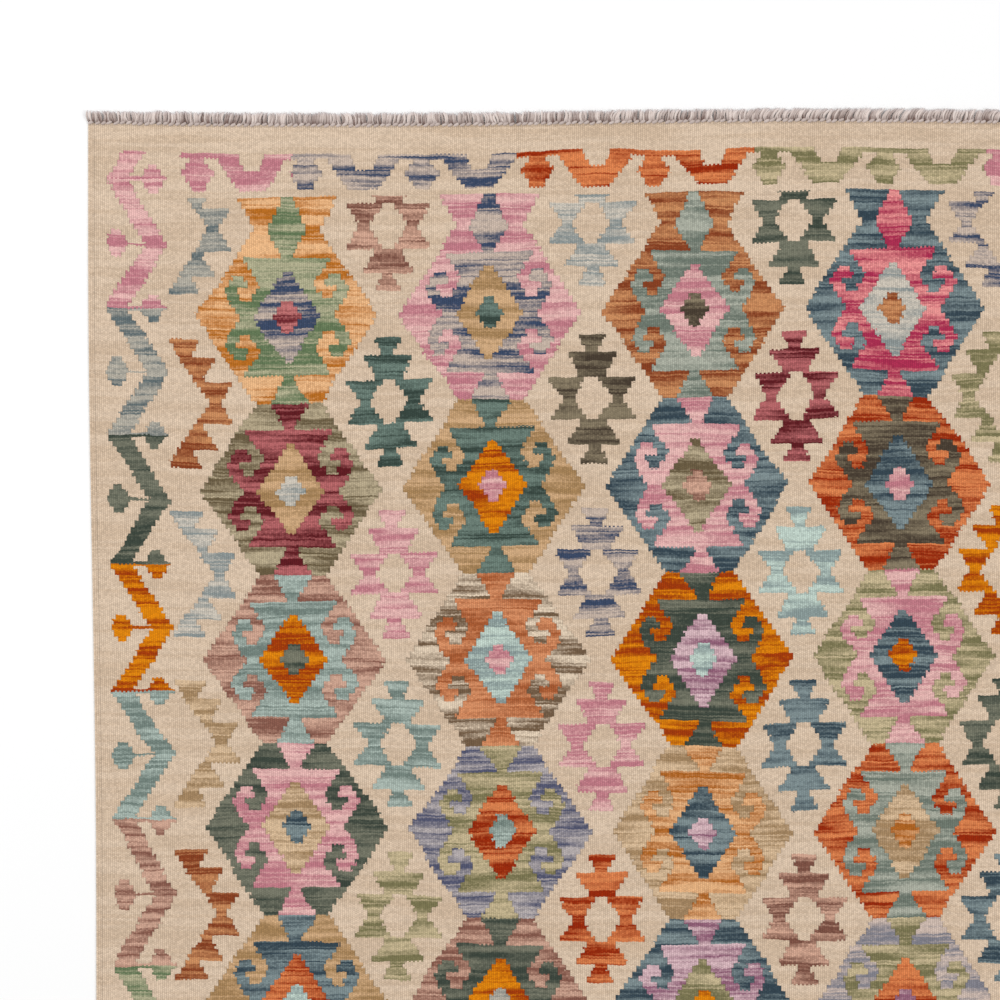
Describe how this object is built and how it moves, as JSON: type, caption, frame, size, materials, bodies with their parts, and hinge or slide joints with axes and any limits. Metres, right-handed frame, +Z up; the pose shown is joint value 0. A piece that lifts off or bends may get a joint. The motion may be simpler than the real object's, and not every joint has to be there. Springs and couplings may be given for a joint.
{
  "type": "kilim rug",
  "caption": "Flat-woven wool kilim rug with stepped hexagon medallions, lobed stars, a zigzag border and short knotted fringes on both ends, lying flat.",
  "frame": {"origin": "on the floor, under the middle of the rug's box", "axes": "+X across the rug's width, +Y along its warps towards the end that the picture shows, +Z up"},
  "size_m": [1.4356, 2.0398, 0.003],
  "materials": {
    "woven_wool": "weft-faced wool slit tapestry, beige ground with figures in many dyed colours, matt",
    "cotton_warp_ends": "grey-brown spun warp ends, knotted and cut short, matt"
  },
  "bodies": {
    "root": {"rug_cloth": "woven_wool", "fringe_top": "cotton_warp_ends", "fringe_bottom": "cotton_warp_ends"}
  },
  "joints": []
}
